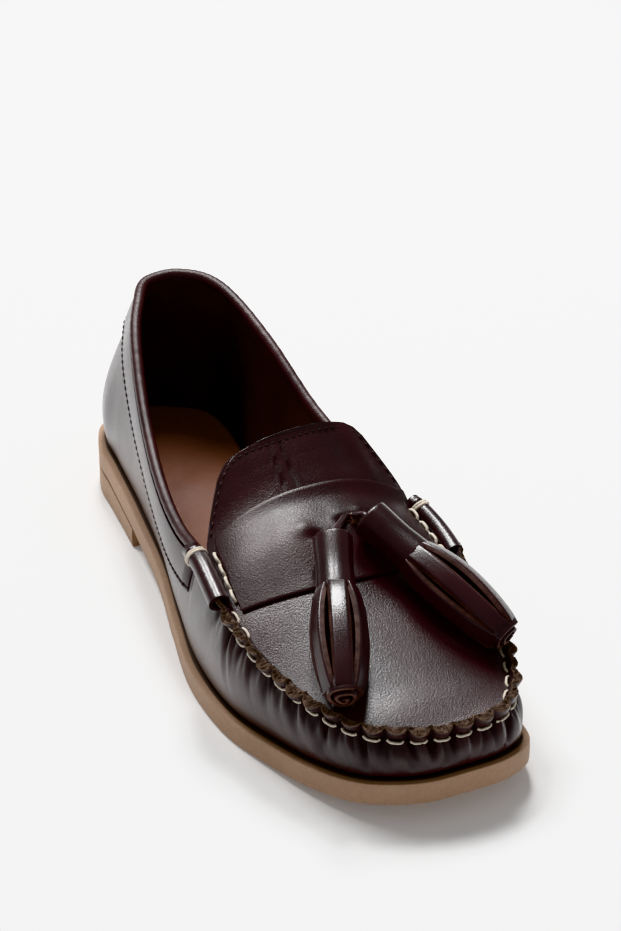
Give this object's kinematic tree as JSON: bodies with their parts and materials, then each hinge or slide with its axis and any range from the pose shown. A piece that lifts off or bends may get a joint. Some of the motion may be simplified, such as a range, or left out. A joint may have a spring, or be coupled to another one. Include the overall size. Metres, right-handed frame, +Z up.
{
  "type": "tassel loafer",
  "caption": "Woman's moccasin-toe tassel loafer, right shoe: hollow leather upper, raised apron seam, instep band with tassels, flat outsole and low heel.",
  "frame": {"origin": "on the floor, under the centre of the part's box", "axes": "+Z up, toe towards -Y, heel towards +Y, inner side of the foot towards +X"},
  "size_m": [0.0998, 0.2572, 0.0855],
  "materials": {
    "oxblood_leather": "smooth, high gloss",
    "raw_edge_leather": "cut edge, fuzzy matte",
    "insole_leather": "smooth, semi-matte",
    "tan_rubber": "plain, matte"
  },
  "bodies": {
    "root": {"outsole": "tan_rubber", "heel": "tan_rubber", "insole": "insole_leather", "upper": "oxblood_leather", "plug_and_tongue": "oxblood_leather", "saddle": "oxblood_leather", "collar_binding": "oxblood_leather", "collar_band": "oxblood_leather", "backstay": "oxblood_leather", "apron_seam": "raw_edge_leather", "barrel_lateral": "oxblood_leather", "barrel_medial": "oxblood_leather", "thong": "oxblood_leather", "tassel_lateral": "oxblood_leather", "tassel_medial": "oxblood_leather"}
  },
  "joints": []
}
